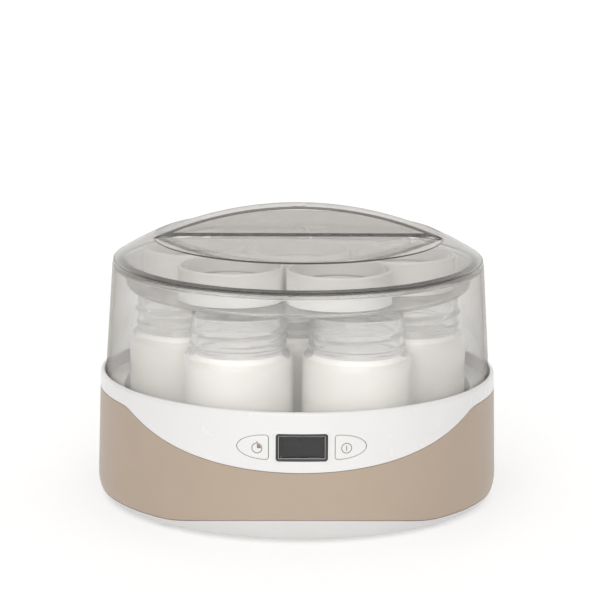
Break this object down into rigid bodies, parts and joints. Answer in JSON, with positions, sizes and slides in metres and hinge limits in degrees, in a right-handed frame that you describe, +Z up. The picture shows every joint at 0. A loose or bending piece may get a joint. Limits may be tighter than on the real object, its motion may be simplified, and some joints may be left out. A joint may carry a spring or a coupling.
{
  "type": "yogurt maker",
  "caption": "Round countertop yogurt maker: heated base with display and buttons, glass jars under a clear cover, stored caps and a domed clear lid.",
  "frame": {"origin": "on the table, under the centre of the round base", "axes": "+Z up along the base's axis, -Y towards the display and buttons, +X to the user's right"},
  "size_m": [0.25, 0.25, 0.1837],
  "materials": {
    "housing_white": "glossy white moulded plastic",
    "trim_taupe": "glossy taupe plastic",
    "clear_plastic": "clear polished plastic",
    "window_clear": "clear window",
    "jar_glass": "clear pressed glass",
    "yogurt_cream": null,
    "cap_white": "white satin plastic",
    "foot_rubber": "soft grey rubber",
    "plate_aluminium": "satin spun aluminium",
    "steel": "satin steel",
    "circuit_board": "green solder mask",
    "lcd_dark": "blank dark liquid-crystal cell",
    "display_grey": "dark grey glossy frame",
    "component_black": "black component mouldings"
  },
  "bodies": {
    "base": {"base_housing": "housing_white", "trim_band": "trim_taupe", "bottom_cover": "housing_white", "heating_plate": "plate_aluminium", "heating_element": "steel", "thermal_fuse": "steel", "temperature_sensor": "housing_white", "display_frame": "display_grey", "display_window": "window_clear", "lcd_module": "lcd_dark", "lcd_holder": "housing_white", "timer_switch": "component_black", "power_switch": "component_black", "control_board": "circuit_board", "supply_board": "circuit_board", "transformer": "component_black", "capacitor": "component_black", "cord_inlet": "foot_rubber", "foot_1": "foot_rubber", "foot_2": "foot_rubber", "foot_3": "foot_rubber", "foot_4": "foot_rubber", "bottom_screw_1": "steel", "bottom_screw_2": "steel", "bottom_screw_3": "steel", "bottom_screw_4": "steel", "jar_1": "jar_glass", "jar_2": "jar_glass", "jar_3": "jar_glass", "jar_4": "jar_glass", "jar_5": "jar_glass", "jar_6": "jar_glass", "jar_7": "jar_glass", "yogurt_1": "yogurt_cream", "yogurt_2": "yogurt_cream", "yogurt_3": "yogurt_cream", "yogurt_4": "yogurt_cream", "yogurt_5": "yogurt_cream", "yogurt_6": "yogurt_cream", "yogurt_7": "yogurt_cream"},
    "timer_button": {"timer_button": "housing_white"},
    "power_button": {"power_button": "housing_white"},
    "cover": {"clear_cover": "clear_plastic", "cap_1": "cap_white", "cap_2": "cap_white", "cap_3": "cap_white", "cap_4": "cap_white", "cap_5": "cap_white", "cap_6": "cap_white", "cap_7": "cap_white"},
    "lid": {"lid": "clear_plastic"},
    "date_ring_1": {"date_ring_1": "cap_white"},
    "date_ring_2": {"date_ring_2": "cap_white"},
    "date_ring_3": {"date_ring_3": "cap_white"},
    "date_ring_4": {"date_ring_4": "cap_white"},
    "date_ring_5": {"date_ring_5": "cap_white"},
    "date_ring_6": {"date_ring_6": "cap_white"},
    "date_ring_7": {"date_ring_7": "cap_white"}
  },
  "joints": [
    {"name": "cover_lift", "type": "slide", "parent": "base", "child": "cover", "axis": [0, 0, 1], "range_m": [0, 0.08]},
    {"name": "lid_lift", "type": "slide", "parent": "cover", "child": "lid", "axis": [0, 0, 1], "range_m": [0, 0.046]},
    {"name": "timer_button_press", "type": "slide", "parent": "base", "child": "timer_button", "axis": [0, 1, 0], "range_m": [0, 0.001], "stiffness_N_per_m": 300},
    {"name": "power_button_press", "type": "slide", "parent": "base", "child": "power_button", "axis": [0, 1, 0], "range_m": [0, 0.001], "stiffness_N_per_m": 300},
    {"name": "date_ring_1_turn", "type": "hinge", "parent": "cover", "child": "date_ring_1", "pos_m": [0, 0, 0.1459], "axis": [0, 0, 1], "continuous": true},
    {"name": "date_ring_2_turn", "type": "hinge", "parent": "cover", "child": "date_ring_2", "pos_m": [0.02322, -0.06178, 0.1459], "axis": [0, 0, 1], "continuous": true},
    {"name": "date_ring_3_turn", "type": "hinge", "parent": "cover", "child": "date_ring_3", "pos_m": [0.06511, -0.01078, 0.1459], "axis": [0, 0, 1], "continuous": true},
    {"name": "date_ring_4_turn", "type": "hinge", "parent": "cover", "child": "date_ring_4", "pos_m": [0.04189, 0.051, 0.1459], "axis": [0, 0, 1], "continuous": true},
    {"name": "date_ring_5_turn", "type": "hinge", "parent": "cover", "child": "date_ring_5", "pos_m": [-0.02322, 0.06178, 0.1459], "axis": [0, 0, 1], "continuous": true},
    {"name": "date_ring_6_turn", "type": "hinge", "parent": "cover", "child": "date_ring_6", "pos_m": [-0.06511, 0.01078, 0.1459], "axis": [0, 0, 1], "continuous": true},
    {"name": "date_ring_7_turn", "type": "hinge", "parent": "cover", "child": "date_ring_7", "pos_m": [-0.04189, -0.051, 0.1459], "axis": [0, 0, 1], "continuous": true}
  ]
}
